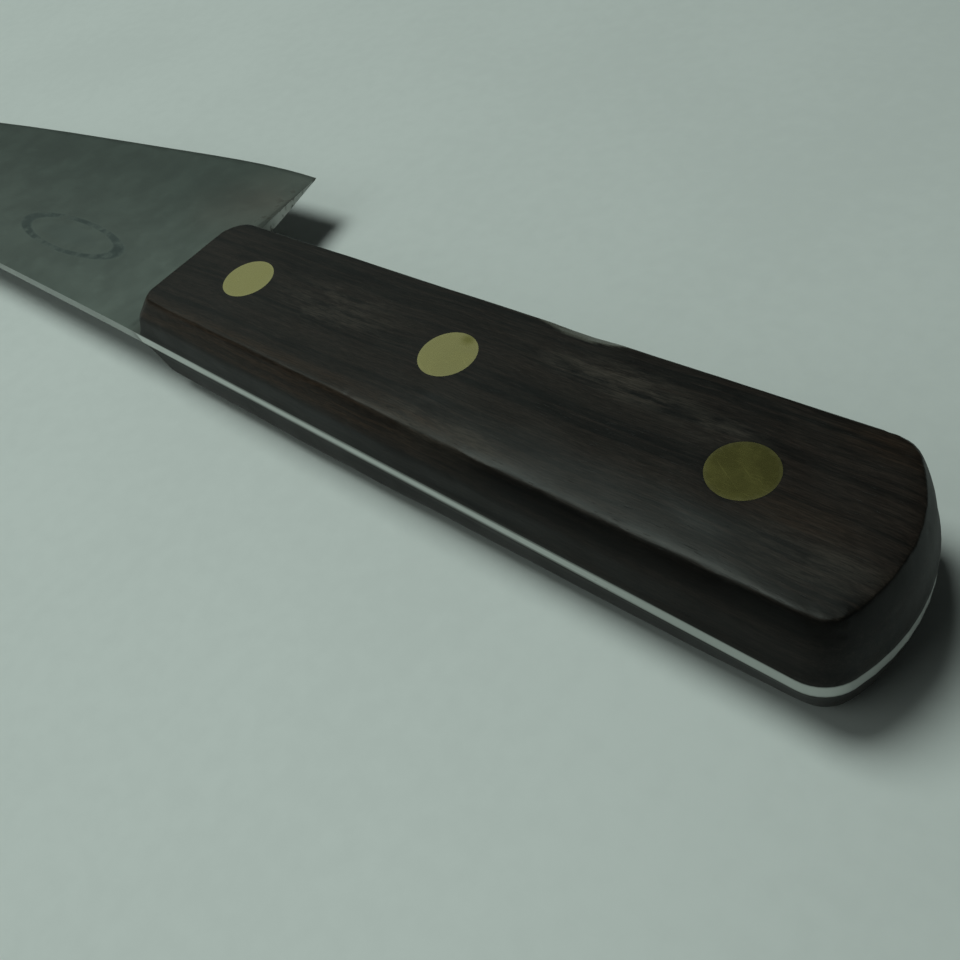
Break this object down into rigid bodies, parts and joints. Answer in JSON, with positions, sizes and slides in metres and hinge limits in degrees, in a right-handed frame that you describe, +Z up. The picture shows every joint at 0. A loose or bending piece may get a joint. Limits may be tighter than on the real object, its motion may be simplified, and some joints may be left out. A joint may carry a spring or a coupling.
{
  "type": "chef knife",
  "caption": "Chef knife lying on its side: tapered triangular steel blade with a straight heel, full tang, chamfered dark wood scales and flush brass rivets.",
  "frame": {"origin": "on the plane that the handle rests on, under the centre of the middle rivet", "axes": "+X along the handle towards the blade's point, +Y towards the spine, +Z up out of the upper scale"},
  "size_m": [0.3285, 0.0485, 0.018],
  "materials": {
    "blade_steel": "satin flat-ground carbon steel, lightly patinated, with fine marks along the blade",
    "handle_wood": "dark oiled rosewood with fine lengthwise grain, worn dull on the flats",
    "rivet_brass": "brass ground flush with the wood, dull, finely scratched"
  },
  "bodies": {
    "root": {"blade": "blade_steel", "upper_scale": "handle_wood", "lower_scale": "handle_wood", "front_rivet_socket": "rivet_brass", "front_rivet_stud": "rivet_brass", "middle_rivet_socket": "rivet_brass", "middle_rivet_stud": "rivet_brass", "rear_rivet_socket": "rivet_brass", "rear_rivet_stud": "rivet_brass"}
  },
  "joints": []
}
